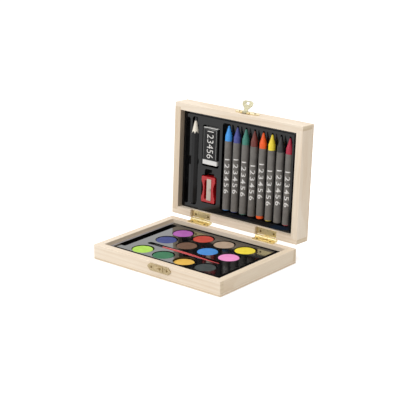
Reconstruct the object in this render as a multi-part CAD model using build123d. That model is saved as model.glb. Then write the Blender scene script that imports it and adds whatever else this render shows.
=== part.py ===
from build123d import *
import os
from math import cos, pi, sin, sqrt

# A wooden art set case, stored open. Millimetres, +Z up, +X to the right, +Y to the back.
# The origin is the middle of the base's underside. The lid's pieces are drawn in a frame of
# their own, with the lid lying on its back and its rim at z = 0, and are then put in place.

# Case
CASE_WIDTH = 170.0
CASE_DEPTH = 125.0
WALL = 8.0
PANEL = 3.0
BASE_BOARD = 13.0          # height of the base's boards
LID_BOARD = 16.5           # height of the lid's boards
CORNER_LIP = 5.0           # what the rebate leaves of a front or back board
CORNER_ROUND = 1.2
ARRIS = 0.5                # rounding of the outer edges
CLOSED_GAP = 0.2           # between the two rims when the lid is shut
OPEN_ANGLE = 93.0

# Hinges
HINGE_OFFSET = 44.5        # of each hinge from the middle of the case
HINGE_WIDTH = 27.0
KNUCKLE_RADIUS = 2.1
MIDDLE_KNUCKLE = 6.4
LEAF = 1.0
LID_LEAF_REACH = 9.2       # from the hinge axis to a leaf's far edge
BASE_LEAF_REACH = 7.2
PIN_RADIUS = 1.0
PIN_PLAY = 0.05
AXIS_BEHIND = 1.7          # of the hinge axis behind the back face
MORTISE_WIDTH = 28.0
STOP_LENGTH = 6.6
STOP_GAP = 0.05
HINGE_NAIL_X = 8.6
LID_NAIL_Y = 5.7
BASE_NAIL_Y = 4.7

# Clasp
CLASP_X = 6.5
PLATE_WIDTH = 32.6        # before its tips are rounded
PLATE_HEIGHT = 7.8
PLATE = 0.8
CATCH_Z = 10.8
CLASP_HEIGHT = 9.5         # of the lid's plate above the lid's rim
TONGUE_AXIS_HEIGHT = 5.0   # of the tongue's pin above the lid's rim
TONGUE_AXIS_PROUD = 1.25
TONGUE_KNUCKLE = 1.15
TONGUE_PIN = 0.5
TONGUE_LENGTH = 13.2
TONGUE_WIDTH = 13.6
TONGUE_NECK = 5.2
TONGUE_REST = 114.0        # how far the tongue is swung up in the stored pose
CLASP_NAIL_X = 10.2
CLASP_KNUCKLE = 3.0        # length of each knuckle beside the tongue
CLASP_PLAY = 0.2
PAD = 0.5
PAD_SIZE = (10.0, 5.8)
BOSS = 1.6
BOSS_SIZE = (3.2, 2.0)
TONGUE_HOLE = (4.0, 2.8)

# Nails
NAIL_HEAD = 1.25
NAIL_DOME = 0.6
NAIL_SHANK = 0.45
NAIL_LENGTH = 6.0

# Formed trays
SHEET = 1.0
WALL_TOP = 0.8             # of a recess's walls below the tray's top, inside its sheet
TRAY_PLAY = 0.3            # between a tray and the boards round it
TRAY_ROUND = 0.8           # rounding of a tray's top along its sides
CHANNEL_DEPTH = 2.0        # of the channels along a tray's edges
BASE_TRAY_DROP = 4.0       # of the tray's top below the rim
LID_TRAY_DROP = 6.3
FLOOR_GAP = 0.3            # under the lid tray's deepest recesses

# Recesses: the middle's x and y, the width, the depth and the corner radius
PALETTE_SLOT = (-68.9, 5.6, 9.0, 84.8, 2.0)
BRUSH_CHANNEL = (-3.6, -12.6, 98.0, 6.0, 2.6)
BASE_CHANNELS = (
    (0.0, -48.4, 151.0, 9.2, 1.0),
    (71.0, 0.0, 9.0, 106.0, 1.0),
    (6.5, 51.5, 138.0, 3.0, 1.0),
)
SPARE_RECESS = (-70.8, -1.3, 6.2, 96.4, 2.6)
PENCIL_RECESS = (-60.4, -0.4, 9.0, 98.2, 3.0)
FINGER_RECESS = (-64.0, -0.3, 19.0, 9.6, 4.0)
ERASER_RECESS = (-38.4, 19.2, 23.6, 45.4, 2.5)
SHARPENER_RECESS = (-38.9, -28.9, 21.0, 31.4, 2.5)
THUMB_RECESS = (-38.9, -10.9, 13.4, 9.0, 3.0)
CRAYON_BAY = (22.8, -0.35, 91.6, 96.7, 3.0)
LID_CHANNELS = (
    (0.0, 51.8, 150.8, 2.4, 1.0),
    (73.0, 0.0, 4.8, 106.0, 1.0),
)

# Paints
CAKE_RADIUS = 11.0
CAKE_HEIGHT = 4.4
CAKE_PLAY = 1.0
CAKE_DROP = 0.5            # of a cake's top below the tray's
CAKE_WORN = {"amber": 1.3}  # how much lower a used cake is than the others
SLOT_GAP = 0.6             # between the palette slot's sheet and the case's panel
CAKE_COLUMNS = (-44.1, -15.7, 12.5, 40.5)
CAKE_ROWS = {"back": 33.2, "middle": 6.1, "front": -31.5}
WELL_SHIFT = (0.4, 0.2)    # from a cake's middle to its well's
CAKE_COLOURS = {
    "back": ("orchid", "vermilion", "beige", "yellow"),
    "middle": ("navy", "brown", "sky_blue", "pink"),
    "front": ("lime", "green", "amber", "black"),
}

# Brush
BRUSH_Y = BRUSH_CHANNEL[1]
BRUSH_DROP = 5.6           # of its axis below the base's rim
BRUSH_ROOM = 2.7           # from its axis to the channel's floor
BRUSH_TIP = -51.3
FERRULE = (-42.5, -32.5)
FERRULE_RADIUS = 1.5
FERRULE_BORE = 1.25
HANDLE_BULGE = (-3.3, 2.3)
HANDLE_END = (43.7, 0.85)
TENON = 5.0                # of the handle, inside the ferrule
STRANDS = 300
STRAND_SIDE = 0.07
HAIR_ROOT = 0.6            # from the ferrule's mouth to where the strands start
HAIR_SLICE = 1.0           # thickness of the slice that they stand on
HAIR_POINT = 0.6           # what is left of the tuft's width at its tip
HAIR_SHORTER = 4.0         # by how much the outer strands are shorter

# Crayons
CRAYON_LENGTH = 92.6
CRAYON_RADIUS = 4.1
WRAPPER = 0.25
CRAYON_DROP = 8.5          # of their axes below the lid's rim
CRAYON_PLAY = 0.3
BAY_FLOOR = 3.0            # of the bay between the grooves, below the crayons' axes
GROOVE_END = 0.4           # from a groove's end to the bay's
CRAYON_PITCH = 11.43
CRAYON_MIDDLE = 24.1
CRAYON_BOTTOM = -47.0
SHOULDER = 9.4             # from the tip to where the cone starts
POINT = (0.9, 0.5)         # radius of the tip's rounded end, at its foot and at its top
WRAPPER_END = 16.4         # from the tip to the wrapper
CRAYON_COLOURS = ("sky_blue", "violet", "green", "brown", "orange", "yellow", "black", "red")
BARE_WAX = {"orange": 3.4}  # left bare at the bottom; the others show 0.8 mm

# Pencil
PENCIL_X = -60.4
PENCIL_DROP = 6.4
PENCIL_PLAY = 0.5          # under the pencil
FINGER_DEEPER = 0.6
PENCIL_FLATS = 7.2
PENCIL_LENGTH = 95.4
PENCIL_BOTTOM = -47.2
LEAD_RADIUS = 1.1
LEAD_BARE = 3.6
CONE_SLOPE = 0.225

# Eraser
ERASER_AT = (-38.9, 19.2)
ERASER_SIZE = (19.7, 40.9, 9.0)
SLEEVE = 0.3
SLEEVE_FROM_TOP = 0.6
SLEEVE_LENGTH = 35.0
LOOSE_TOP = -5.2           # top of the eraser and of the sharpener, from the lid's rim
THUMB_HIGHER = 2.6         # of the thumb recess's floor above theirs

# Sharpener
SHARPENER_AT = (-39.5, -28.9)
SHARPENER_SIZE = (18.4, 28.6, 9.4)
WAIST = 2.2
BLADE = (6.0, 24.0, 0.7)
BLADE_X = 1.2
BLADE_SUNK = 0.4
SHAVINGS_SLOT = (-5.2, -0.4)    # its two sides in x
POINT_HOLE = (4.0, 1.4, 26.0)   # radius at the mouth and at the end, and length
POINT_DROP = 5.1                # of the hole's axis below the sharpener's top
SCREW_X = 2.1
SCREW_HEAD = 1.7

HALF_WIDTH = CASE_WIDTH / 2
HALF_DEPTH = CASE_DEPTH / 2
BASE_RIM = PANEL + BASE_BOARD
LID_RIM = BASE_RIM + CLOSED_GAP
HINGE_Y = HALF_DEPTH + AXIS_BEHIND
HINGE_Z = BASE_RIM + KNUCKLE_RADIUS
MORTISE_DEPTH = 2 * KNUCKLE_RADIUS - CLOSED_GAP

LID_PLACE = (
    Pos(0, HINGE_Y, HINGE_Z)
    * Rot(-OPEN_ANGLE, 0, 0)
    * Pos(0, -HINGE_Y, -HINGE_Z)
    * Pos(0, 0, LID_RIM)
    * Rot(180, 0, 0)
)
BASE_FRONT = Plane((CLASP_X, -HALF_DEPTH, CATCH_Z), x_dir=(1, 0, 0), z_dir=(0, -1, 0)).location
LID_FRONT = Plane((CLASP_X, HALF_DEPTH, -CLASP_HEIGHT), x_dir=(1, 0, 0), z_dir=(0, 1, 0)).location
TONGUE_Y = TONGUE_AXIS_HEIGHT - CLASP_HEIGHT
ALONG_X = Rot(0, 90, 0)
ALONG_Y = Rot(-90, 0, 0)


def block(x0, x1, y0, y1, z0, z1):
    """A box given by its two limits along each axis."""
    return Pos((x0 + x1) / 2, (y0 + y1) / 2, (z0 + z1) / 2) * Box(x1 - x0, y1 - y0, z1 - z0)


def pillar(x, y, width, depth, radius, z0, z1):
    """An upright block with rounded corners, from z0 to z1."""
    return Pos(x, y, z0) * extrude(RectangleRounded(width, depth, radius), z1 - z0)


def rod(radius, x0, x1, y=0.0, z=0.0):
    """A round rod along X."""
    return Pos((x0 + x1) / 2, y, z) * ALONG_X * Cylinder(radius, x1 - x0)


def turned(points):
    """A solid turned about Z from its outline of (radius, height) points."""
    return revolve(Plane.XZ * make_face(Polyline(*points, close=True)), Axis.Z)


def half_case(rim, height):
    """The boards and the panel of one half of the case, lying with its opening up."""
    low = rim - height
    outline = pillar(0, 0, CASE_WIDTH, CASE_DEPTH, CORNER_ROUND, low - PANEL, rim)
    ends = outline.faces().filter_by(Axis.Z)
    outline = fillet(ends.edges(), ARRIS)
    reach = HALF_DEPTH - CORNER_LIP
    inner = HALF_WIDTH - WALL
    left = block(-HALF_WIDTH, -inner, -reach, reach, low, rim)
    right = block(inner, HALF_WIDTH, -reach, reach, low, rim)
    lengthways = block(-HALF_WIDTH, HALF_WIDTH, -HALF_DEPTH, WALL - HALF_DEPTH, low, rim)
    near = lengthways - left - right
    far = mirror(near, Plane.XZ)
    panel = block(-HALF_WIDTH, HALF_WIDTH, -HALF_DEPTH, HALF_DEPTH, low - PANEL, low)
    return [piece & outline for piece in (near, far, left, right, panel)]


def nail():
    """A round-headed nail whose head stands on z = 0 and whose shank goes down."""
    ball = (NAIL_HEAD**2 + NAIL_DOME**2) / (2 * NAIL_DOME)
    head = Pos(0, 0, NAIL_DOME - ball) * Sphere(ball) & block(-2, 2, -2, 2, 0, 2)
    shank = Pos(0, 0, -NAIL_LENGTH / 2) * Cylinder(NAIL_SHANK, NAIL_LENGTH)
    return head + shank


def joined(pieces):
    """Separate solids held in one group."""
    return Compound(children=[piece for piece in pieces])


def hinge_leaf(reach, knuckles):
    """A leaf whose pin lies along X at the origin and whose plate runs towards -Y below it."""
    half = HINGE_WIDTH / 2
    bottom = -KNUCKLE_RADIUS
    leaf = block(-half, half, -reach, bottom - 0.3, bottom, bottom + LEAF)
    for x0, x1 in knuckles:
        leaf += block(x0, x1, bottom - 1, 0, bottom, bottom + LEAF) + rod(KNUCKLE_RADIUS, x0, x1)
    return leaf


def hinges():
    """The two base leaves, the two lid leaves and the two pins, and the leaves' nails."""
    half = HINGE_WIDTH / 2
    middle = MIDDLE_KNUCKLE / 2
    base_leaf = hinge_leaf(BASE_LEAF_REACH, [(-half, -middle - 0.1), (middle + 0.1, half)])
    base_leaf -= rod(PIN_RADIUS, -half, half)
    offset = AXIS_BEHIND - STOP_GAP
    stop = block(-middle + 0.1, middle - 0.1, -STOP_LENGTH, 0, offset - LEAF, offset)
    lid_leaf = Rot(0, 0, 180) * hinge_leaf(LID_LEAF_REACH, [(-middle + 0.1, middle - 0.1)])
    lid_leaf += Rot(OPEN_ANGLE - 90, 0, 0) * stop
    lid_leaf -= rod(PIN_RADIUS + PIN_PLAY, -middle, middle)
    pin = rod(PIN_RADIUS, -half, half)
    nail_z = LEAF - KNUCKLE_RADIUS
    base_nails = [Pos(x, -BASE_NAIL_Y, nail_z) * nail() for x in (-HINGE_NAIL_X, HINGE_NAIL_X)]
    lid_nails = [Pos(x, LID_NAIL_Y, nail_z) * nail() for x in (-HINGE_NAIL_X, HINGE_NAIL_X)]
    base_at = [Pos(x, HINGE_Y, HINGE_Z) for x in (-HINGE_OFFSET, HINGE_OFFSET)]
    lid_at = [Pos(x, -HINGE_Y, LID_RIM - HINGE_Z) for x in (-HINGE_OFFSET, HINGE_OFFSET)]
    return {
        "base_leaves": [at * base_leaf for at in base_at],
        "pins": [at * pin for at in base_at],
        "base_nails": [at * piece for at in base_at for piece in base_nails],
        "lid_leaves": [at * lid_leaf for at in lid_at],
        "lid_nails": [at * piece for at in lid_at for piece in lid_nails],
    }


def lozenge_plate():
    """The long six-sided plate that both halves of the clasp have."""
    flat = PLATE_WIDTH / 2 - 4.4
    high = PLATE_HEIGHT / 2
    tip = PLATE_WIDTH / 2
    corners = [(-tip, 0), (-flat, high), (flat, high), (tip, 0), (flat, -high), (-flat, -high)]
    plate = extrude(make_face(Polyline(*corners, close=True)), PLATE)
    return fillet(plate.edges().filter_by(Axis.Z), 1.6)


def clasp():
    """The catch on the base, and the plate, pin and tongue on the lid, each on its own face."""
    catch = lozenge_plate() + pillar(0, 0, *PAD_SIZE, 1.2, 0, PLATE + PAD)
    catch += pillar(0, 0, *BOSS_SIZE, 0.8, 0, PLATE + PAD + BOSS)
    neck = TONGUE_NECK / 2
    inner = neck + CLASP_PLAY
    outer = inner + CLASP_KNUCKLE
    axis = Pos(0, TONGUE_Y, TONGUE_AXIS_PROUD)
    plate = lozenge_plate()
    plate -= block(-inner, inner, -6, TONGUE_Y + TONGUE_KNUCKLE + 0.3, -1, 3)
    for x0, x1 in ((-outer, -inner), (inner, outer)):
        plate += axis * rod(TONGUE_KNUCKLE, x0, x1)
    plate -= axis * rod(TONGUE_PIN, -outer, outer)
    pin = axis * rod(TONGUE_PIN, -outer, outer)
    half = TONGUE_WIDTH / 2
    far = -TONGUE_LENGTH
    outline = [
        (-neck, 0), (-neck, -4.2), (-half, -8.4), (-half, far + 1.4), (-half + 2.4, far),
        (half - 2.4, far), (half, far + 1.4), (half, -8.4), (neck, -4.2), (neck, 0),
    ]
    leaf = extrude(make_face(Polyline(*outline, close=True)), PLATE)
    leaf = Pos(0, 0, TONGUE_KNUCKLE - PLATE) * fillet(leaf.edges().filter_by(Axis.Z)[1:-1], 0.6)
    hole_y = CATCH_Z - LID_RIM - TONGUE_AXIS_HEIGHT
    tongue = leaf + rod(TONGUE_KNUCKLE, -neck, neck)
    tongue -= pillar(0, hole_y, *TONGUE_HOLE, 0.9, -1, 3)
    tongue -= rod(TONGUE_PIN + PIN_PLAY, -neck, neck)
    tongue = axis * Rot(-TONGUE_REST, 0, 0) * tongue
    nails = [Pos(x, 0, PLATE) * nail() for x in (-CLASP_NAIL_X, CLASP_NAIL_X)]
    return catch, plate, pin, tongue, nails


def formed_tray(top, height, pockets):
    """A tray of one sheet: a flat top, sides down to the panel, and pockets.

    Each pocket is a function that gives its hollow, or the hollow grown by a thickness.
    """
    foot = top - height
    width = CASE_WIDTH - 2 * (WALL + TRAY_PLAY)
    depth = CASE_DEPTH - 2 * (WALL + TRAY_PLAY)
    tray = pillar(0, 0, width, depth, 1.5, foot, top)
    tray = fillet(tray.faces().sort_by(Axis.Z)[-1].edges(), TRAY_ROUND)
    tray -= pillar(0, 0, width - 2 * SHEET, depth - 2 * SHEET, 0.8, foot, top - SHEET)
    for pocket in pockets:
        tray += pocket(top, SHEET)
    for pocket in pockets:
        tray -= pocket(top, 0.0)
    return tray


def box_pocket(x, y, width, depth, radius, floor):
    """A pocket with rounded corners down to the floor."""

    def shape(tray_top, grow):
        top = tray_top + (-WALL_TOP if grow else 1)
        return pillar(x, y, width + 2 * grow, depth + 2 * grow, radius + grow, floor - grow, top)

    return shape


def cake_pocket(x, y, floor):
    """A round well for one paint cake."""

    def shape(tray_top, grow):
        top = tray_top + (-WALL_TOP if grow else 1)
        bottom = floor - grow
        radius = CAKE_RADIUS + CAKE_PLAY + grow
        return Pos(x, y, (top + bottom) / 2) * Cylinder(radius, top - bottom)

    return shape


def groove_pocket(x, y0, y1, radius, axis_z):
    """A round-bottomed groove along Y."""

    def shape(_, grow):
        length = y1 - y0 + 2 * grow
        groove = Pos(x, (y0 + y1) / 2, axis_z) * ALONG_Y * Cylinder(radius + grow, length)
        over = block(x - 20, x + 20, y0 - 5, y1 + 5, axis_z, axis_z + 20)
        return groove - over

    return shape


def paint_tray():
    """The base's palette tray."""
    top = BASE_RIM - BASE_TRAY_DROP
    floor = top - CAKE_DROP - CAKE_HEIGHT
    right, back = WELL_SHIFT
    pockets = [
        cake_pocket(x + right, y + back, floor) for y in CAKE_ROWS.values() for x in CAKE_COLUMNS
    ]
    pockets.append(box_pocket(*PALETTE_SLOT, PANEL + SHEET + SLOT_GAP))
    pockets.append(box_pocket(*BRUSH_CHANNEL, BASE_RIM - BRUSH_DROP - BRUSH_ROOM))
    pockets += [box_pocket(*channel, top - CHANNEL_DEPTH) for channel in BASE_CHANNELS]
    return formed_tray(top, top - PANEL, pockets)


def crayon_places():
    """Each crayon's colour and the X of its axis."""
    first = CRAYON_MIDDLE - CRAYON_PITCH * (len(CRAYON_COLOURS) - 1) / 2
    return [(colour, first + i * CRAYON_PITCH) for i, colour in enumerate(CRAYON_COLOURS)]


def tool_tray():
    """The lid's tray, in the lid's frame."""
    floor = -LID_BOARD + SHEET + FLOOR_GAP
    long_floor = -PENCIL_DROP - PENCIL_FLATS / 2 - PENCIL_PLAY
    pockets = [
        box_pocket(*SPARE_RECESS, long_floor),
        box_pocket(*PENCIL_RECESS, long_floor),
        box_pocket(*FINGER_RECESS, long_floor - FINGER_DEEPER),
        box_pocket(*ERASER_RECESS, floor),
        box_pocket(*SHARPENER_RECESS, floor),
        box_pocket(*THUMB_RECESS, floor + THUMB_HIGHER),
        box_pocket(*CRAYON_BAY, -CRAYON_DROP - BAY_FLOOR),
    ]
    pockets += [box_pocket(*channel, -LID_TRAY_DROP - CHANNEL_DEPTH) for channel in LID_CHANNELS]
    bay_y, bay_depth = CRAYON_BAY[1], CRAYON_BAY[3]
    half = bay_depth / 2 - GROOVE_END
    for _, x in crayon_places():
        groove = groove_pocket(x, bay_y - half, bay_y + half, CRAYON_RADIUS + CRAYON_PLAY, -CRAYON_DROP)
        pockets.append(groove)
    return formed_tray(-LID_TRAY_DROP, LID_BOARD - LID_TRAY_DROP, pockets)


def crayon(colour, x):
    """One crayon in the lid's frame: its wax stick and its paper wrapper."""
    core = CRAYON_RADIUS - WRAPPER
    length = CRAYON_LENGTH
    neck = core - 0.45
    foot, tip = POINT
    stick = turned([
        (0, 0), (core - 0.4, 0), (core, 0.4), (core, length - SHOULDER - 1.2),
        (neck, length - SHOULDER), (foot, length - 0.5), (tip, length), (0, length),
    ])
    low = BARE_WAX.get(colour, 0.8)
    high = length - WRAPPER_END
    wrapper = turned([(core, low), (CRAYON_RADIUS, low), (CRAYON_RADIUS, high), (core, high)])
    at = Pos(x, CRAYON_BOTTOM, -CRAYON_DROP) * ALONG_Y
    return at * stick, at * wrapper


def pencil():
    """The pencil's hexagonal casing and its lead, sharpened by one cone."""
    slope_foot = PENCIL_LENGTH - PENCIL_FLATS / CONE_SLOPE
    cone = turned([(0, 0), (20, 0), (20, slope_foot - 20), (PENCIL_FLATS, slope_foot),
                   (0.25, PENCIL_LENGTH), (0, PENCIL_LENGTH)])
    hexagon = extrude(RegularPolygon(PENCIL_FLATS / sqrt(3), 6), PENCIL_LENGTH - LEAD_BARE)
    core = Pos(0, 0, PENCIL_LENGTH / 2) * Cylinder(LEAD_RADIUS, PENCIL_LENGTH)
    at = Pos(PENCIL_X, PENCIL_BOTTOM, -PENCIL_DROP) * ALONG_Y
    return at * ((hexagon - core) & cone), at * (core & cone)


def eraser():
    """The eraser's block and its sleeve."""
    x, y = ERASER_AT
    width, length, height = ERASER_SIZE
    top = LOOSE_TOP - SLEEVE
    body = block(x - width / 2, x + width / 2, y - length / 2, y + length / 2, top - height, top)
    body = fillet(body.edges(), 0.6)
    end = y + length / 2 - SLEEVE_FROM_TOP
    wide = width / 2 + SLEEVE
    sleeve = block(x - wide, x + wide, end - SLEEVE_LENGTH, end, top - height - SLEEVE, LOOSE_TOP)
    sleeve = fillet(sleeve.edges().filter_by(Axis.Y), 0.8)
    return body, sleeve - body


def sharpener():
    """The sharpener's body, its blade and the blade's screw."""
    x, y = SHARPENER_AT
    width, length, height = SHARPENER_SIZE
    body = block(-width / 2, width / 2, -length / 2, length / 2, -height, 0)
    chord = length * 0.62
    radius = (chord**2 / 4 + WAIST**2) / (2 * WAIST)
    for side in (-1, 1):
        bite = Cylinder(radius, 2 * height + 2)
        body -= Pos(side * (width / 2 + radius - WAIST), 0, 0) * bite
    body = fillet(body.edges().filter_by(Axis.Z), 1.0)
    body -= Pos(0, (POINT_HOLE[2] - length) / 2, -POINT_DROP) * ALONG_Y * Cone(*POINT_HOLE)
    body -= block(*SHAVINGS_SLOT, -11, 10, -POINT_DROP - 0.3, 1)
    blade_wide, blade_long, thick = BLADE
    sides = (BLADE_X - blade_wide / 2, BLADE_X + blade_wide / 2, -blade_long / 2, blade_long / 2)
    body -= block(*sides, -BLADE_SUNK, 1)
    top = thick - BLADE_SUNK
    blade = block(*sides, -BLADE_SUNK, top)
    screw = Pos(SCREW_X, 0, top + 0.3) * Cylinder(SCREW_HEAD, 0.6)
    screw += Pos(SCREW_X, 0, top - 1.5) * Cylinder(0.8, 3.0)
    blade -= screw
    body -= screw
    screw -= block(SCREW_X - 2.1, SCREW_X + 2.1, -0.25, 0.25, top + 0.3, top + 1)
    at = Pos(x, y, LOOSE_TOP - 0.3)
    return at * body, at * blade, at * screw


def brush():
    """The brush's handle, ferrule and hair, lying along X in the base."""
    start, end = FERRULE
    bulge_x, bulge_r = HANDLE_BULGE
    tail_x, tail_r = HANDLE_END
    side = Spline(
        (end, FERRULE_RADIUS), (end / 2 + bulge_x / 2, bulge_r - 0.2), (bulge_x, bulge_r),
        (bulge_x + 22, bulge_r * 0.68), (tail_x - tail_r, tail_r),
    )
    outline = side + Polyline(
        (tail_x - tail_r, tail_r), (tail_x - 0.3 * tail_r, 0.8 * tail_r), (tail_x, 0.4 * tail_r),
        (tail_x, 0), (end - TENON, 0), (end - TENON, FERRULE_BORE), (end, FERRULE_BORE),
        (end, FERRULE_RADIUS),
    )
    handle = revolve(make_face(outline), Axis.X)
    ferrule = rod(FERRULE_RADIUS, start, end) - rod(FERRULE_BORE, start - 1, end + 1)
    at = Pos(0, BRUSH_Y, BASE_RIM - BRUSH_DROP)
    return at * handle, at * ferrule, at * hair()


def hair():
    """A tuft of straight strands that draw in to a point, standing on a slice of their root."""
    root = FERRULE[0] + HAIR_ROOT
    reach = root - BRUSH_TIP
    spread = FERRULE_BORE - 0.1
    strands = []
    for i in range(STRANDS):
        distance = sqrt((i + 0.5) / STRANDS)
        angle = i * pi * (3 - sqrt(5))
        y, z = spread * distance * cos(angle), spread * distance * sin(angle)
        tip = BRUSH_TIP + HAIR_SHORTER * distance**2
        shrink = 1 - (1 - HAIR_POINT) * (root - tip) / reach
        foot = Pos(root + 0.3, y, z) * Rot(0, -90, 0) * RegularPolygon(STRAND_SIDE, 3)
        head = Rot(0, -90, 0) * RegularPolygon(STRAND_SIDE * HAIR_POINT, 3)
        head = Pos(tip, y * shrink, z * shrink) * head
        strands.append(loft([foot.face(), head.face()]))
    return rod(FERRULE_BORE, root, root + HAIR_SLICE).fuse(*strands)


def put(name, shape):
    """Write one node."""
    export_step(shape, os.path.join("parts", f"{name}.step"))


def main():
    os.makedirs("parts", exist_ok=True)
    hinge = hinges()
    catch, clasp_plate, clasp_pin, tongue, clasp_nails = clasp()
    base_nails = hinge["base_nails"] + [BASE_FRONT * piece for piece in clasp_nails]
    lid_nails = hinge["lid_nails"] + [LID_FRONT * piece for piece in clasp_nails]

    near, far, left, right, panel = half_case(BASE_RIM, BASE_BOARD)
    for piece in base_nails:
        near -= piece
        far -= piece
    put("base_front_board", near)
    put("base_back_board", far)
    put("base_left_board", left)
    put("base_right_board", right)
    put("base_bottom_panel", panel)
    put("hinge_base_leaves", joined([leaf - joined(base_nails) for leaf in hinge["base_leaves"]]))
    put("hinge_pins", joined(hinge["pins"]))
    put("catch_plate", BASE_FRONT * catch - joined(base_nails))
    put("base_nails", joined(base_nails))

    put("paint_tray", paint_tray())
    cake_top = BASE_RIM - BASE_TRAY_DROP - CAKE_DROP
    for row, y in CAKE_ROWS.items():
        for colour, x in zip(CAKE_COLOURS[row], CAKE_COLUMNS):
            height = CAKE_HEIGHT - CAKE_WORN.get(colour, 0)
            middle = cake_top - CAKE_HEIGHT + height / 2
            cake = Pos(x, y, middle) * Cylinder(CAKE_RADIUS, height)
            put(f"paint_{colour}", fillet(cake.faces().sort_by(Axis.Z)[-1].edges(), 0.5))
    for name, piece in zip(("brush_handle", "brush_ferrule", "brush_hair"), brush()):
        put(name, piece)

    near, far, left, right, panel = half_case(0.0, LID_BOARD)
    for x in (-HINGE_OFFSET, HINGE_OFFSET):
        half = MORTISE_WIDTH / 2
        near -= block(x - half, x + half, -HALF_DEPTH - 1, WALL - HALF_DEPTH + 1, -MORTISE_DEPTH, 1)
    for piece in lid_nails:
        near -= piece
        far -= piece
    lid = {
        "lid_back_board": near,
        "lid_front_board": far,
        "lid_left_board": left,
        "lid_right_board": right,
        "lid_top_panel": panel,
        "hinge_lid_leaves": joined([leaf - joined(lid_nails) for leaf in hinge["lid_leaves"]]),
        "clasp_plate": LID_FRONT * clasp_plate - joined(lid_nails),
        "clasp_pin": LID_FRONT * clasp_pin,
        "clasp_tongue": LID_FRONT * tongue,
        "lid_nails": joined(lid_nails),
        "tool_tray": tool_tray(),
    }
    for colour, x in crayon_places():
        lid[f"crayon_{colour}"], lid[f"wrapper_{colour}"] = crayon(colour, x)
    lid["pencil_casing"], lid["pencil_lead"] = pencil()
    lid["eraser_block"], lid["eraser_sleeve"] = eraser()
    lid["sharpener_body"], lid["sharpener_blade"], lid["sharpener_screw"] = sharpener()
    for name, piece in lid.items():
        put(name, LID_PLACE * piece)


main()
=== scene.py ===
import math

import bpy
from mathutils import Matrix, Vector


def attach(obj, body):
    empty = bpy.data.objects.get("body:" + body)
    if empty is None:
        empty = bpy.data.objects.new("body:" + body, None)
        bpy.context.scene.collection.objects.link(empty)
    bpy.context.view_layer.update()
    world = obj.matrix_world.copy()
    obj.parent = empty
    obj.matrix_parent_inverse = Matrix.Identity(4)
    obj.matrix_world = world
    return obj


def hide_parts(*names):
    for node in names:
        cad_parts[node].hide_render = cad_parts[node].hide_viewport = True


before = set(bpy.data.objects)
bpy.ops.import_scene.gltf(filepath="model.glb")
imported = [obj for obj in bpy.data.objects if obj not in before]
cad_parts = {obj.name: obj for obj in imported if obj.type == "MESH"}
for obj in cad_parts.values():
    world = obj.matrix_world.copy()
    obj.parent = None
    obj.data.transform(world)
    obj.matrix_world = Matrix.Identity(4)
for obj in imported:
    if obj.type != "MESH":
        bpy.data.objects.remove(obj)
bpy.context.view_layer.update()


# Camera
# It stands off the right front corner, a little above the case, with a long lens. Its place and
# its angles were fitted to the edges of the case.
PLACE = (0.84188, -1.00257, 0.4834)
LENS = 120.557
azimuth, elevation, roll = math.radians(39.775), math.radians(17.661), math.radians(0.074)
backwards = Vector((
    math.sin(azimuth) * math.cos(elevation),
    -math.cos(azimuth) * math.cos(elevation),
    math.sin(elevation),
))
rightwards = Vector((math.cos(azimuth), math.sin(azimuth), 0))
upwards = backwards.cross(rightwards)
turned = Matrix((
    rightwards * math.cos(roll) + upwards * math.sin(roll),
    upwards * math.cos(roll) - rightwards * math.sin(roll),
    backwards,
)).transposed()
camera = bpy.data.objects.new("camera", bpy.data.cameras.new("camera"))
bpy.context.scene.collection.objects.link(camera)
camera.data.lens = LENS
camera.data.sensor_width = 36
camera.data.clip_start = 0.05
camera.data.clip_end = 20
camera.matrix_world = Matrix.Translation(PLACE) @ turned.to_4x4()
bpy.context.scene.camera = camera
bpy.context.scene.view_settings.view_transform = "Standard"


# Base boards
# Pale planed softwood, left bare. The front and back boards run the full width and are rebated
# at their ends, so strips of their end grain show on the sides of the case.
PER_METRE = 1000                      # finishes are laid out in millimetres
LID_TURN = (math.radians(-87), 0, 0)  # with LID_SHIFT, lays the open lid flat, its rim at Z = 0
LID_SHIFT = (0, -85.635, 61.265)
RING_GAP = 4.6                        # from one growth ring to the next, in millimetres
HEART_Y, HEART_Z = 48.0, 30.0         # from a board to the middle of the tree, in millimetres
MERGED_BELOW = 0.000002               # corners closer than this, in metres, are one
FLAT_BELOW = math.radians(0.6)        # faces that meet at less than this are one
ROUND_BELOW = math.radians(30)        # faces that meet at less than this are shaded as one
WOOD_EDGE = 0.00018                   # how far the boards' corners are eased, in metres


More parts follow.
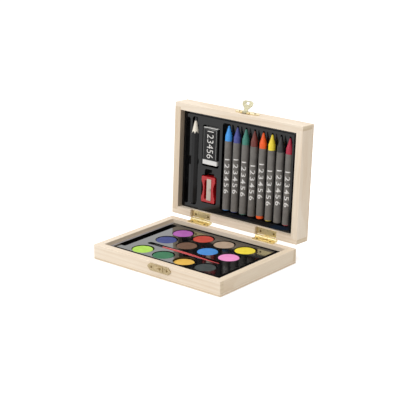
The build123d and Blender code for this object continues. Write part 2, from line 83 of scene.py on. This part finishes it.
class Shade:
    """A socket of a finish. Sums of sockets and numbers add the nodes that work them out."""

    def __init__(self, tree, socket):
        self.tree = tree
        self.socket = socket

    def node(self, kind, settings, values, output=0):
        """Any node: its settings first, then the values and links of its sockets."""
        made = self.tree.nodes.new(kind)
        for name, setting in settings.items():
            setattr(made, name, setting)
        for name, value in values.items():
            if isinstance(value, Shade):
                self.tree.links.new(value.socket, made.inputs[name])
            else:
                made.inputs[name].default_value = value
        return Shade(self.tree, made.outputs[output])

    def maths(self, operation, *values):
        """One sum on these values, whatever this socket holds."""
        return self.node("ShaderNodeMath", {"operation": operation}, dict(enumerate(values)))

    def __add__(self, other):
        return self.maths("ADD", self, other)

    def __radd__(self, other):
        return self.maths("ADD", other, self)

    def __sub__(self, other):
        return self.maths("SUBTRACT", self, other)

    def __rsub__(self, other):
        return self.maths("SUBTRACT", other, self)

    def __mul__(self, other):
        return self.maths("MULTIPLY", self, other)

    def __rmul__(self, other):
        return self.maths("MULTIPLY", other, self)

    def __truediv__(self, other):
        return self.maths("DIVIDE", self, other)

    def __pow__(self, other):
        return self.maths("POWER", self, other)

    def __abs__(self):
        return self.maths("ABSOLUTE", self)

    def most(self, other):
        """The larger of this and the other."""
        return self.maths("MAXIMUM", self, other)

    def over(self, low, high):
        """0 below low, 1 above high, and a smooth step between."""
        return self.node(
            "ShaderNodeMapRange", {"interpolation_type": "SMOOTHSTEP"},
            {"Value": self, "From Min": low, "From Max": high},
        )

    def part(self, axis):
        """The X, Y or Z of this vector."""
        return self.node("ShaderNodeSeparateXYZ", {}, {0: self}, axis)

    def vector(self, operation, x, y, z):
        return self.node("ShaderNodeVectorMath", {"operation": operation}, {0: self, 1: (x, y, z)})

    def times(self, x, y, z):
        """This vector with each part multiplied."""
        return self.vector("MULTIPLY", x, y, z)

    def moved(self, x, y, z):
        """This vector with something added to each part."""
        return self.vector("ADD", x, y, z)

    def noise(self, scale, detail=2.0, roughness=0.5):
        return self.node(
            "ShaderNodeTexNoise", {},
            {"Vector": self, "Scale": scale, "Detail": detail, "Roughness": roughness},
        )

    def between(self, first, second):
        """A colour that goes from the first to the second as this goes from 0 to 1."""
        return self.node("ShaderNodeMix", {"data_type": "RGBA"}, {0: self, 6: first, 7: second}, 2)

    def relief(self, distance, strength=1.0):
        """A surface raised by this height, of which 1 is the distance in metres."""
        return self.node(
            "ShaderNodeBump", {}, {"Height": self, "Distance": distance, "Strength": strength})


def tint(red, green, blue):
    """A colour as it is seen, from 0 to 255, made ready for a shader."""
    seen = [value / 255 for value in (red, green, blue)]
    return tuple(v / 12.92 if v < 0.04045 else ((v + 0.055) / 1.055) ** 2.4 for v in seen) + (1.0,)


def finish(name, settings, on_lid=False):
    """A finish, with its place and facing read in millimetres on the base or on the lid."""
    material = bpy.data.materials.new(name)
    material.use_nodes = True
    tree = material.node_tree
    shader = tree.nodes["Principled BSDF"]
    for setting, value in settings.items():
        shader.inputs[setting].default_value = value
    read = tree.nodes.new("ShaderNodeTexCoord")
    place = Shade(tree, read.outputs["Object"])
    facing = Shade(tree, read.outputs["Normal"])
    turn = LID_TURN if on_lid else (0, 0, 0)
    shift = LID_SHIFT if on_lid else (0, 0, 0)
    place = place.node("ShaderNodeMapping", {}, {
        "Vector": place, "Scale": (PER_METRE,) * 3, "Rotation": turn, "Location": shift})
    facing = place.node(
        "ShaderNodeMapping", {"vector_type": "VECTOR"}, {"Vector": facing, "Rotation": turn})
    return material, shader, place, facing


def feed(shader, name, value):
    """Lead a socket into one of the shader's own."""
    value.tree.links.new(value.socket, shader.inputs[name])


def wood(name, on_lid, lengthways, seed, pale, dark, inner_shade=0.0):
    """Solid softwood: long grain on the faces, rings on the ends.

    A painted shade, where there is one, darkens the face that looks to the right.
    """
    material, shader, place, facing = finish(name, {"IOR": 1.45}, on_lid)
    x, y, z = place.part("X"), place.part("Y"), place.part("Z")
    along, across = (x, y) if lengthways else (y, x)
    end = abs(facing.part("X" if lengthways else "Y")).over(0.55, 0.85)
    trunk = place.node("ShaderNodeCombineXYZ", {}, {
        0: along + seed * 37.0, 1: across + seed * 11.0, 2: z - seed * 5.0})
    sway = (trunk.times(0.005, 0.02, 0.02).noise(1.0, 2.0) - 0.5) * 26.0
    out = ((trunk.part("Y") + HEART_Y + sway) ** 2.0 + (trunk.part("Z") + HEART_Z) ** 2.0) ** 0.5
    growth = out / RING_GAP
    ring = growth.maths("FRACT", growth)
    late = ring.over(0.25, 0.93) * (1.0 - ring.over(0.93, 1.0))
    fibre = trunk.times(0.035, 1.5, 1.5).noise(1.0, 4.0, 0.6)
    cloud = trunk.times(0.012, 0.05, 0.05).noise(1.0, 2.0)
    fleck = trunk.times(0.12, 5.0, 5.0).noise(1.0, 2.0).over(0.60, 0.72)
    depth = late * cloud * 0.34 + (fibre - 0.5) * 0.55 + fleck * 0.16 + (cloud - 0.5) * 0.5
    face = (depth + 0.14).most(0.0).between(pale, dark)
    cut = (late * 0.35 + fibre * 0.5).between(tint(228, 211, 184), tint(200, 177, 146))
    # Painted shade: the face that looks to the right is darkened towards a dark brown.
    inner = facing.part("X").over(0.9, 0.95) * inner_shade
    feed(shader, "Base Color", inner.between(end.between(face, cut), tint(70, 58, 48)))
    feed(shader, "Roughness", 0.52 + fibre * 0.2 + end * 0.15)
    feed(shader, "Normal", (fibre * 0.6 - late * 0.25 - fleck * 0.5).relief(0.00006, 0.5))
    return material


def eased(node, body, slot, material, width, sharp=38.0, segments=2):
    """A copy of a solid with its doubled corners merged, its edges eased and its flats flat."""
    bpy.ops.object.select_all(action="DESELECT")
    piece = bpy.data.objects.new(node + "_piece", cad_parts[node].data.copy())
    bpy.context.scene.collection.objects.link(piece)
    bpy.context.view_layer.objects.active = piece
    piece.select_set(True)
    bpy.ops.object.mode_set(mode="EDIT")
    bpy.ops.mesh.select_all(action="SELECT")
    bpy.ops.mesh.remove_doubles(threshold=MERGED_BELOW)
    bpy.ops.mesh.dissolve_limited(angle_limit=FLAT_BELOW)
    bpy.ops.object.mode_set(mode="OBJECT")
    bevel = piece.modifiers.new("edges", "BEVEL")
    bevel.width = width
    bevel.segments = segments
    bevel.limit_method = "ANGLE"
    bevel.angle_limit = math.radians(sharp)
    bpy.ops.object.modifier_apply(modifier="edges")
    bpy.ops.object.shade_smooth_by_angle(angle=ROUND_BELOW)
    flats = piece.modifiers.new("flats", "WEIGHTED_NORMAL")
    flats.weight = 90
    flats.keep_sharp = True
    bpy.ops.object.modifier_apply(modifier="flats")
    piece.data.materials.clear()
    piece.data.materials.append(material)
    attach(piece, body)
    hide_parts(node)


PALE, CREAM = tint(239, 225, 206), tint(232, 217, 195)
TAN = tint(206, 176, 138)
for node, lengthways, seed, pale in (
    ("base_front_board", True, 1.3, PALE),
    ("base_back_board", True, 4.1, PALE),
    ("base_left_board", False, 2.6, PALE),
    ("base_right_board", False, 7.4, CREAM),
):
    board = wood(node + "_wood", False, lengthways, seed, pale, TAN)
    eased(node, "base", "wood", board, WOOD_EDGE)


# Base panel
# Three-ply board glued under the frame. Its middle ply runs the other way, so it shows on the
# edge as a darker line between two pale ones.
BASE_PLY_MIDDLE = 1.5   # the height of the middle ply, in millimetres
FULL_TURN = 6.283


def plywood(name, on_lid, middle, seed):
    """Three plies, of which the middle one lies across."""
    material, shader, place, facing = finish(name, {"IOR": 1.45}, on_lid)
    level = abs(place.part("Z") - middle)
    edge = 1.0 - abs(facing.part("Z")).over(0.3, 0.7)
    sheet = place.moved(seed, seed * 0.7, 0)
    wander = (sheet.times(0.008, 0.03, 0.03).noise(1.0, 2.0) - 0.5) * 2.2
    drift = sheet.times(0.02, 0.02, 0.02).noise(1.0) * 2.0
    phase = (sheet.part("Y") * 0.09 + wander * 1.4 + drift) * FULL_TURN
    flame = phase.maths("SINE", phase) * 0.5 + 0.5
    fibre = sheet.times(0.05, 1.7, 1.7).noise(1.0, 4.0, 0.6)
    face = (flame * 0.18 + fibre * 0.35).between(tint(243, 230, 212), tint(214, 186, 150))
    across = sheet.times(1.6, 1.6, 0.3).noise(1.0, 3.0)
    core = (1.0 - level.over(0.42, 0.55)) * edge
    glue = level.over(0.40, 0.47) * (1.0 - level.over(0.52, 0.60)) * edge
    core_tint = across.between(tint(230, 210, 182), tint(202, 176, 142))
    colour = core.between(face, core_tint)
    feed(shader, "Base Color", (glue * 0.4).between(colour, tint(168, 138, 104)))
    feed(shader, "Roughness", 0.55 + fibre * 0.15)
    feed(shader, "Normal", (fibre * 0.6 + core * across * 0.6).relief(0.00005, 0.5))
    return material


panel = plywood("base_ply", False, BASE_PLY_MIDDLE, 0)
eased("base_bottom_panel", "base", "plywood", panel, WOOD_EDGE)


# Brass
# The hinge leaves, pins, catch and nails are thin pressed brass, a little uneven. The hinges are
# bright, the catch is aged, and the sunk heads of the nails are dark.
def brass(name, on_lid, bright, dull, dark):
    """Plated brass with slight waves and scuffs, tarnished by the part given as dark."""
    material, shader, place, _ = finish(name, {"Metallic": 1.0}, on_lid)
    wave = place.noise(0.35, 2.0)
    scuff = place.times(1.0, 5.0, 1.0).noise(1.2, 3.0, 0.6)
    stain = place.noise(0.8, 3.0).over(0.66 - dark * 0.3, 0.92 - dark * 0.3)
    colour = wave.between(bright, dull)
    feed(shader, "Base Color", (stain * 0.6).between(colour, tint(104, 88, 58)))
    feed(shader, "Roughness", 0.22 + scuff * 0.18 + stain * 0.12)
    feed(shader, "Normal", (wave * 1.2 + scuff * 0.15).relief(0.00012, 0.6))
    return material


BRIGHT, DULL = tint(236, 219, 170), tint(212, 193, 142)
AGED, AGED_DULL = tint(194, 175, 140), tint(150, 134, 102)
OLD, OLD_DULL = tint(132, 108, 66), tint(84, 68, 42)
PALER, PALER_DULL = tint(176, 172, 148), tint(150, 144, 116)
HINGE_BRASS = brass("hinge_brass", False, BRIGHT, DULL, 0.45)
for node, metal, width in (
    ("hinge_base_leaves", HINGE_BRASS, 0.00015),
    ("hinge_pins", HINGE_BRASS, 0.0001),
    ("catch_plate", brass("catch_brass", False, AGED, AGED_DULL, 0.6), 0.00018),
    ("base_nails", brass("base_nail_brass", False, OLD, OLD_DULL, 0.8), 0.00005),
):
    eased(node, "base", "brass", metal, width)


# Palette tray
# One sheet of glossy black plastic, formed over a mould, so its edges are round and its flats
# have slight waves that bend what they reflect.
PALETTE_SHEEN_EDGE = -73.6  # the right edge of the border with a painted sheen, in millimetres


def tray_plastic(name, on_lid, gloss, sheen_edge):
    """Black styrene with faint waves and a few specks of dust, with a pale sheen painted left of
    an X.
    """
    material, shader, place, _ = finish(name, {"IOR": gloss}, on_lid)
    wave = place.noise(0.03, 1.0)
    orange_peel = place.noise(0.9, 2.0)
    dust = place.noise(2.6, 3.0, 0.7).over(0.70, 0.82)
    rub_and_sheen = place.times(0.4, 0.1, 0.4).noise(0.6, 3.0)
    # Painted reflection: left of the given X the colour is mixed towards a pale grey sheen, and
    # the surface is rougher there.
    sheen_border = 1.0 - place.part("X").over(sheen_edge - 0.2, sheen_edge + 0.2)
    tone = (dust * 0.3).between(tint(15, 15, 16), tint(74, 73, 72))
    feed(shader, "Base Color", (sheen_border * (0.7 + rub_and_sheen * 0.4)).between(tone, tint(164, 162, 164)))
    feed(shader, "Roughness", 0.05 + rub_and_sheen * 0.07 + dust * 0.25 + sheen_border * 0.3)
    feed(shader, "Normal", (wave * 1.6 + orange_peel * 0.03).relief(0.00015, 0.5))
    return material


palette = tray_plastic("palette_plastic", False, 1.55, PALETTE_SHEEN_EDGE)
eased("paint_tray", "base", "tray_plastic", palette, 0.0005, segments=3)


# Paint cakes
# Twelve pressed discs of watercolour, dry and chalky, each stuck in its well.
CAKES = {
    "orchid": (169, 90, 170), "vermilion": (188, 66, 51), "beige": (174, 151, 130),
    "yellow": (234, 212, 60), "navy": (58, 68, 126), "brown": (103, 73, 54),
    "sky_blue": (66, 134, 203), "pink": (230, 142, 195), "lime": (168, 210, 80),
    "green": (48, 110, 75), "amber": (222, 176, 74), "black": (50, 56, 55),
}
for number, (colour, seen) in enumerate(CAKES.items()):
    material, shader, place, _ = finish(colour + "_paint", {"IOR": 1.4})
    grain = place.noise(3.2, 3.0, 0.6)
    patch = place.moved(number * 13.7, number * 5.1, 0).noise(0.16, 3.0)
    rich = tint(*seen)
    worn = tuple(min(1.0, v * 1.12 + 0.012) for v in rich[:3]) + (1.0,)
    deep = tuple(v * 0.80 for v in rich[:3]) + (1.0,)
    faded = patch.over(0.3, 0.7).between(rich, worn)
    feed(shader, "Base Color", (grain.over(0.58, 0.78) * 0.5).between(faded, deep))
    feed(shader, "Roughness", 0.62 + grain * 0.3)
    feed(shader, "Normal", (grain + patch * 0.8).relief(0.00006, 0.6))
    eased("paint_" + colour, "base", "paint_" + colour, material, 0.0001)


# Brush handle and ferrule
# A turned wooden handle dipped in red lacquer, and a black metal ferrule crimped round its neck
# in two rings.
CRIMPS = (-34.5, -35.9)  # along the brush, in millimetres
material, shader, place, _ = finish(
    "brush_lacquer", {"Coat Weight": 0.6, "Coat Roughness": 0.08})
streak = place.times(0.05, 2.0, 2.0).noise(1.0, 2.0)
feed(shader, "Base Color", streak.between(tint(196, 34, 34), tint(170, 22, 26)))
feed(shader, "Roughness", 0.28 + streak * 0.1)
feed(shader, "Normal", streak.relief(0.00003, 0.4))
eased("brush_handle", "brush", "brush_paint", material, 0.0001)

material, shader, place, _ = finish("ferrule_black", {"Metallic": 0.85})
off_first, off_second = (abs(place.part("X") - at).over(0.25, 0.45) for at in CRIMPS)
crimp = 1.0 - off_first * off_second
scuff = place.noise(2.0, 3.0)
feed(shader, "Base Color", scuff.over(0.55, 0.8).between(tint(36, 36, 38), tint(74, 74, 77)))
feed(shader, "Roughness", 0.30 + scuff * 0.2)
feed(shader, "Normal", (scuff * 0.1 - crimp).relief(0.00018, 0.9))
eased("brush_ferrule", "brush", "ferrule_metal", material, 0.00008)


# Brush hair
# Dark bristles bound in the ferrule, drawn in to a point, each a thin tapered strand.
STRANDS = 420
STRAND_LENGTH = 0.0102
TUFT_RADIUS = 0.00116
GOLDEN_ANGLE = math.pi * (3 - math.sqrt(5))
HAIR_FOOT = Vector((-0.0411, -0.0126, 0.0104))
bpy.ops.object.select_all(action="DESELECT")
bpy.ops.mesh.primitive_cone_add(
    vertices=4, radius1=0.00007, radius2=0.00002, depth=STRAND_LENGTH, end_fill_type="NOTHING",
    location=HAIR_FOOT, rotation=(0, math.radians(-90), 0))
strand = bpy.context.active_object
bpy.ops.object.mode_set(mode="EDIT")
bpy.ops.mesh.select_all(action="SELECT")
bpy.ops.mesh.subdivide(number_cuts=4)
bpy.ops.object.mode_set(mode="OBJECT")
bpy.ops.object.transform_apply(location=True, rotation=True, scale=True)
model = [v.co - HAIR_FOOT for v in strand.data.vertices]
sides = [tuple(face.vertices) for face in strand.data.polygons]
near = max(point.x for point in model)
far = min(point.x for point in model)
points, faces = [], []
for i in range(STRANDS):
    out = math.sqrt((i + 0.5) / STRANDS)
    turn = i * GOLDEN_ANGLE
    lean = Vector((0, math.cos(turn), math.sin(turn)))
    stray = 1 + 0.10 * math.sin(i * 12.9) + (0.35 if i % 61 == 7 else 0.0)
    length = (1 - 0.36 * out ** 2) * (1 - 0.03 * (1 + math.sin(i * 4.7)))
    start = len(points)
    for point in model:
        t = (near - point.x) / (near - far)
        belly = 1 + 0.10 * math.sin(math.pi * min(1, t * 1.6))
        spread = TUFT_RADIUS * out * belly * (1 - 0.62 * t ** 1.6)
        centre = lean * spread * (1 + (stray - 1) * t)
        side = Vector((0, point.y, point.z))
        points.append(HAIR_FOOT + Vector((-STRAND_LENGTH * t * length, 0, 0)) + centre + side)
    faces += [tuple(start + v for v in side) for side in sides]
bpy.data.objects.remove(strand)
mesh = bpy.data.meshes.new("brush_tuft")
mesh.from_pydata(points, [], faces)
tuft = bpy.data.objects.new("brush_tuft", mesh)
bpy.context.scene.collection.objects.link(tuft)
tuft.select_set(True)
bpy.context.view_layer.objects.active = tuft
bpy.ops.object.shade_smooth()
material, shader, place, _ = finish("bristle", {})
hair = place.times(0.1, 6.0, 6.0).noise(1.0, 2.0)
feed(shader, "Base Color", hair.between(tint(30, 26, 25), tint(62, 52, 47)))
feed(shader, "Roughness", 0.42 + hair * 0.2)
mesh.materials.append(material)
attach(tuft, "brush")
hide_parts("brush_hair")


# Lid boards
# The same planed softwood, a little taller than the base's boards; the left one is a little
# darker.
# The inner face of the left board carries a painted shade.
DUSKY = tint(224, 208, 186)
for node, lengthways, seed, pale, inner_shade in (
    ("lid_front_board", True, 9.2, PALE, 0.0),
    ("lid_back_board", True, 5.7, PALE, 0.0),
    ("lid_left_board", False, 3.9, DUSKY, 0.5),
    ("lid_right_board", False, 8.3, PALE, 0.0),
):
    board = wood(node + "_wood", True, lengthways, seed, pale, TAN, inner_shade)
    eased(node, "lid", "wood", board, WOOD_EDGE)


# Lid panel
# The top of the closed case, of the same three-ply board, cut from another part of the sheet.
LID_PLY_MIDDLE = -18.0  # below the lid's rim, in millimetres
panel = plywood("lid_ply", True, LID_PLY_MIDDLE, 41.0)
eased("lid_top_panel", "lid", "plywood", panel, WOOD_EDGE)


# Lid brass
# The lid's hinge leaves, nails and clasp plate, and the hinged tongue with its hole.
LID_BRASS = brass("lid_brass", True, BRIGHT, DULL, 0.45)
for node, body, metal, width in (
    ("hinge_lid_leaves", "lid", LID_BRASS, 0.00015),
    ("clasp_plate", "lid", LID_BRASS, 0.00015),
    ("clasp_pin", "lid", LID_BRASS, 0.00008),
    ("lid_nails", "lid", brass("lid_nail_brass", True, OLD, OLD_DULL, 0.8), 0.00005),
    ("clasp_tongue", "tongue", brass("tongue_brass", True, PALER, PALER_DULL, 0.3), 0.00018),
):
    eased(node, body, "brass", metal, width)


# Tool tray
# The lid's formed sheet, with a bay for the crayons and recesses for the other tools. It is
# less glossy than the palette and has no painted sheen, so the edge of its painted sheen lies off
# the case.
OFF_THE_CASE = -200.0
styrene = tray_plastic("tool_tray_plastic", True, 1.4, OFF_THE_CASE)
eased("tool_tray", "lid", "tray_plastic", styrene, 0.0005, segments=3)


# Crayons
# Moulded wax sticks in wrappers of dark grey paper. Each wrapper carries a plain row of figures
# in white, bent round the stick, which starts as far from the tip as the number beside its colour.
CRAYONS = {
    "sky_blue": ((72, 164, 244), 35.6), "violet": ((74, 80, 152), 33.7),
    "green": ((64, 134, 118), 34.4), "brown": ((114, 54, 46), 36.2),
    "orange": ((250, 96, 30), 32.4), "yellow": ((253, 226, 60), 37.5),
    "black": ((50, 50, 50), 34.9), "red": ((184, 36, 66), 34.5),
}
CRAYON_RADIUS = 4.1     # these are in the lid's own millimetres
CRAYON_AXIS_Z = -8.5
CRAYON_TIP_Y = 45.6
BAY_MIDDLE, CRAYON_PITCH = 24.1, 11.43
ROW_LENGTH = 38.0
FIGURE_HEIGHT = 5.6
PRINT_RISE = 0.02       # how far the ink stands off the paper
CUTS = 9                # lines across the figures, so that they can bend


def in_lid(x, y, z):
    """A place on the lid, in its own millimetres, as it stands at rest."""
    c, s = math.cos(-LID_TURN[0]), math.sin(-LID_TURN[0])
    y, z = y - LID_SHIFT[1], z - LID_SHIFT[2]
    return Vector((x, y * c - z * s, y * s + z * c)) / PER_METRE


def figures(name, body, spacing, swell, place_of):
    """The figures 1 to 6 in white, laid by a rule that turns a row's (u, v) into a place."""
    bpy.ops.object.select_all(action="DESELECT")
    bpy.ops.object.text_add(location=(0, 0, 0))
    row = bpy.context.active_object
    row.data.body = "123456"
    row.data.offset = swell
    row.data.space_character = spacing
    bpy.ops.object.convert(target="MESH")
    row = bpy.context.active_object
    row.name = name
    flat = [vertex.co for vertex in row.data.vertices]
    left, right = min(p.x for p in flat), max(p.x for p in flat)
    low, high = min(p.y for p in flat), max(p.y for p in flat)
    bpy.ops.object.mode_set(mode="EDIT")
    for cut in range(1, CUTS + 1):
        level = low + (high - low) * cut / (CUTS + 1)
        bpy.ops.mesh.select_all(action="SELECT")
        bpy.ops.mesh.bisect(plane_co=(0, level, 0), plane_no=(0, 1, 0))
    bpy.ops.object.mode_set(mode="OBJECT")
    for vertex in row.data.vertices:
        u = (vertex.co.x - left) / (right - left)
        v = (vertex.co.y - low) / (high - low) - 0.5
        vertex.co = place_of(u, v)
    row.data.materials.clear()
    row.data.materials.append(INK)
    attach(row, body)


INK, shader, place, _ = finish("print_ink", {})
ink = place.noise(3.0, 2.0)
feed(shader, "Base Color", ink.over(0.45, 0.75).between(tint(236, 234, 230), tint(196, 192, 188)))
feed(shader, "Roughness", 0.5 + ink * 0.2)

PAPER, shader, place, _ = finish("wrapper_paper", {}, True)
fibres = place.times(1.2, 0.5, 1.2).noise(2.0, 3.0, 0.6)
blotch = place.noise(0.12, 2.0)
colour = blotch.over(0.3, 0.7).between(tint(102, 98, 94), tint(116, 112, 107))
feed(shader, "Base Color", (fibres.over(0.5, 0.8) * 0.4).between(colour, tint(78, 75, 73)))
feed(shader, "Roughness", 0.55 + fibres * 0.25)
feed(shader, "Normal", (fibres * 0.7 + blotch * 0.5).relief(0.00004, 0.6))

for number, (colour, (seen, start)) in enumerate(CRAYONS.items()):
    middle = BAY_MIDDLE + (number - (len(CRAYONS) - 1) / 2) * CRAYON_PITCH
    rolled = math.radians(24 + 5 * math.sin(number * 2.3))
    material, shader, place, _ = finish(colour + "_wax", {"IOR": 1.43}, True)
    bloom = place.noise(0.5, 3.0)
    scrape = place.times(1.6, 0.25, 1.6).noise(1.2, 3.0, 0.65).over(0.56, 0.74)
    rich = tint(*seen)
    chalky = tuple(v * 0.82 + 0.07 for v in rich[:3]) + (1.0,)
    deep = tuple(v * 0.84 for v in rich[:3]) + (1.0,)
    tone = bloom.over(0.3, 0.7).between(deep, rich)
    feed(shader, "Base Color", (scrape * 0.45).between(tone, chalky))
    feed(shader, "Roughness", 0.36 + bloom * 0.12 + scrape * 0.15)
    feed(shader, "Normal", (bloom * 0.8 - scrape * 0.3).relief(0.00009, 0.5))
    body = colour + "_crayon"
    eased("crayon_" + colour, body, "wax_" + colour, material, 0.0002, sharp=32.0)
    eased("wrapper_" + colour, body, "wrapper_paper", PAPER, 0.00006)

    def round_the_stick(u, v):
        angle = v * FIGURE_HEIGHT / CRAYON_RADIUS + rolled
        radius = CRAYON_RADIUS + PRINT_RISE
        return in_lid(middle + radius * math.sin(angle), CRAYON_TIP_Y - start - u * ROW_LENGTH,
                      CRAYON_AXIS_Z + radius * math.cos(angle))

    figures("figures_" + colour, body, 1.35, 0.012, round_the_stick)


# Pencil
# Cedar in black lacquer with six flats. The point is cut as one cone, so the lacquer ends in a
# row of curves and the lead stands bare.
PENCIL_X, PENCIL_Z = -60.4, -6.4
FLAT = 3.6              # from the pencil's middle to its flats, in millimetres
material, shader, place, _ = finish(
    "pencil_lacquer", {"IOR": 1.3, "Coat Roughness": 0.06}, True)
across = place.part("X") - PENCIL_X
deep = place.part("Z") - PENCIL_Z
widest = abs(deep)
for turn in (math.radians(60), math.radians(-60)):
    side = abs(across * math.sin(turn) + deep * math.cos(turn))
    widest = widest.most(side)
grain = place.times(2.4, 0.15, 2.4).noise(1.0, 3.0, 0.6)
painted = (widest + (grain - 0.5) * 0.06).over(FLAT - 0.06, FLAT - 0.03)
bare = grain.between(tint(246, 241, 230), tint(232, 220, 200))
feed(shader, "Base Color", painted.between(bare, tint(12, 12, 13)))
feed(shader, "Roughness", 0.55 - painted * 0.2 + grain * 0.06)
feed(shader, "Coat Weight", painted * 0.12)
feed(shader, "Normal", (grain * (1.0 - painted)).relief(0.00006, 0.6))
eased("pencil_casing", "pencil", "pencil_paint", material, 0.00012, sharp=45.0)

material, shader, place, _ = finish("graphite", {"Metallic": 0.35}, True)
grain = place.noise(5.0, 3.0)
feed(shader, "Base Color", grain.between(tint(54, 54, 58), tint(88, 88, 92)))
feed(shader, "Roughness", 0.35 + grain * 0.2)
feed(shader, "Normal", grain.relief(0.00003, 0.5))
eased("pencil_lead", "pencil", "pencil_lead", material, 0.00005, sharp=50.0)


# Eraser
# A white vinyl block in a black card sleeve, which has a thin pale frame, open at its foot and
# fainter towards the left, and plain figures.
material, shader, place, _ = finish("vinyl", {"IOR": 1.45}, True)
smudge = place.noise(0.3, 4.0, 0.6).over(0.56, 0.80)
grain = place.noise(4.0, 2.0)
feed(shader, "Base Color", (smudge * 0.4).between(tint(228, 227, 224), tint(190, 188, 186)))
feed(shader, "Roughness", 0.55 + grain * 0.2)
feed(shader, "Normal", grain.relief(0.00004, 0.5))
eased("eraser_block", "eraser", "eraser_rubber", material, 0.0002)

ERASER_X, SLEEVE_MIDDLE, SLEEVE_TOP = -38.9, 21.55, -5.2
FRAME_ACROSS, FRAME_ALONG, FRAME_LINE, FRAME_FOOT = 8.8, 16.6, 0.45, -16.0
TEXT_START, TEXT_LENGTH, TEXT_HEIGHT, TEXT_SHIFT = 14.6, 30.0, 8.6, 0.4


def boxed(u, v, half_u, half_v):
    """1 inside a box round the middle of the sleeve, with soft edges."""
    soft = 0.05
    return (1.0 - abs(u).over(half_u - soft, half_u)) * (1.0 - abs(v).over(half_v - soft, half_v))


material, shader, place, facing = finish("sleeve_card", {"IOR": 1.35}, True)
u = place.part("X") - ERASER_X
v = place.part("Y") - SLEEVE_MIDDLE
outer = boxed(u, v, FRAME_ACROSS, FRAME_ALONG)
inner = boxed(u, v, FRAME_ACROSS - FRAME_LINE, FRAME_ALONG - FRAME_LINE)
line = (outer - inner) * facing.part("Z").over(0.8, 0.9) * v.over(FRAME_FOOT - 0.1, FRAME_FOOT)
line = line * (0.35 + 0.65 * u.over(-1, 1))
wear = place.noise(1.6, 3.0)
card = wear.over(0.4, 0.8).between(tint(14, 14, 15), tint(26, 26, 27))
feed(shader, "Base Color", (line * 0.6).between(card, tint(200, 199, 196)))
feed(shader, "Roughness", 0.42 + wear * 0.2)
feed(shader, "Normal", wear.relief(0.00003, 0.4))
eased("eraser_sleeve", "eraser", "sleeve_card", material, 0.0001)


def along_the_sleeve(u, v):
    return in_lid(ERASER_X + TEXT_SHIFT + v * TEXT_HEIGHT,
                  SLEEVE_MIDDLE + TEXT_START - u * TEXT_LENGTH, SLEEVE_TOP + PRINT_RISE)


figures("figures_eraser", "eraser", 1.0, -0.008, along_the_sleeve)


# Sharpener
# A moulded body of red plastic with a waist for the fingers, a ground steel blade and one
# slotted screw.
material, shader, place, _ = finish("red_plastic", {"IOR": 1.5}, True)
flow = place.noise(0.25, 2.0)
scratch = place.times(0.6, 3.0, 0.6).noise(1.5, 3.0).over(0.62, 0.78)
feed(shader, "Base Color", flow.between(tint(196, 16, 24), tint(170, 10, 18)))
feed(shader, "Roughness", 0.20 + flow * 0.08 + scratch * 0.25)
feed(shader, "Normal", (flow * 0.8 - scratch * 0.1).relief(0.00012, 0.5))
eased("sharpener_body", "sharpener", "red_plastic", material, 0.00035)

BEVEL_FROM, BEVEL_TO = -41.5, -40.7  # the blade's ground edge, across the lid
material, shader, place, _ = finish("ground_steel", {"Metallic": 1.0}, True)
grind = place.times(0.3, 6.0, 1.0).noise(1.5, 3.0, 0.7)
bevel = 1.0 - place.part("X").over(BEVEL_FROM, BEVEL_TO)
feed(shader, "Base Color", grind.between(tint(196, 184, 172), tint(150, 140, 130)))
feed(shader, "Roughness", 0.28 + grind * 0.18 - bevel * 0.1)
feed(shader, "Normal", grind.relief(0.00003, 0.5))
eased("sharpener_blade", "sharpener", "blade_steel", material, 0.00012)
eased("sharpener_screw", "sharpener", "blade_steel", material, 0.00012)


# Floor and light
# A plain pale floor under soft studio light from all round, a little stronger from the left
# front and from above. A long low light behind at the left gives the palette its grey sheen.
WHITE, PALE_GREY = (1, 1, 1, 1), (0.8, 0.8, 0.8, 1)
SKY_LIGHT = 0.68         # what the sky gives the object, where the camera sees it as 1
FLOOR_GLOW = 0.5         # only for what the camera sees
FLOOR_LEVEL = -0.0002
AIM = Vector((0, 0, 0.05))


def in_sight(tree):
    """1 for what the camera sees, itself, mirrored or through something clear, and else 0."""
    path = tree.nodes.new("ShaderNodeLightPath")
    seen = Shade(tree, path.outputs["Is Camera Ray"])
    for kind in ("Is Glossy Ray", "Is Transmission Ray"):
        seen = seen.most(Shade(tree, path.outputs[kind]))
    return seen


bpy.ops.object.select_all(action="DESELECT")
bpy.ops.mesh.primitive_plane_add(size=12, location=(0, 0, FLOOR_LEVEL))
floor = bpy.context.active_object
floor.name = "floor"
material = bpy.data.materials.new("floor_white")
material.use_nodes = True
tree = material.node_tree
tree.nodes.clear()
seen = in_sight(tree)
matt = seen.node("ShaderNodeBsdfDiffuse", {}, {"Color": PALE_GREY})
lit = seen.node("ShaderNodeEmission", {}, {"Color": WHITE, "Strength": seen * FLOOR_GLOW})
both = seen.node("ShaderNodeAddShader", {}, {0: matt, 1: lit})
out = tree.nodes.new("ShaderNodeOutputMaterial")
tree.links.new(both.socket, out.inputs["Surface"])
floor.data.materials.append(material)

world = bpy.data.worlds.new("studio")
bpy.context.scene.world = world
world.use_nodes = True
tree = world.node_tree
tree.nodes.clear()
seen = in_sight(tree)
strength = SKY_LIGHT + seen * (1 - SKY_LIGHT)
sky = seen.node("ShaderNodeBackground", {}, {"Color": WHITE, "Strength": strength})
out = tree.nodes.new("ShaderNodeOutputWorld")
tree.links.new(sky.socket, out.inputs["Surface"])

for name, spot, size, power in (
    ("front_light", (-0.55, -1.25, 0.85), (0.9, 0.9), 7.0),
    ("top_light", (0.1, -0.1, 1.4), (1.2, 1.2), 7.1),
    ("back_light", (-0.55, 0.66, 0.33), (0.9, 0.26), 0.45),
):
    light = bpy.data.lights.new(name, "AREA")
    light.shape = "ELLIPSE" if size[0] == size[1] else "RECTANGLE"
    light.size, light.size_y = size
    light.energy = power
    lamp = bpy.data.objects.new(name, light)
    bpy.context.scene.collection.objects.link(lamp)
    lamp.location = spot
    lamp.rotation_mode = "QUATERNION"
    lamp.rotation_quaternion = (AIM - Vector(spot)).to_track_quat("-Z", "Y")
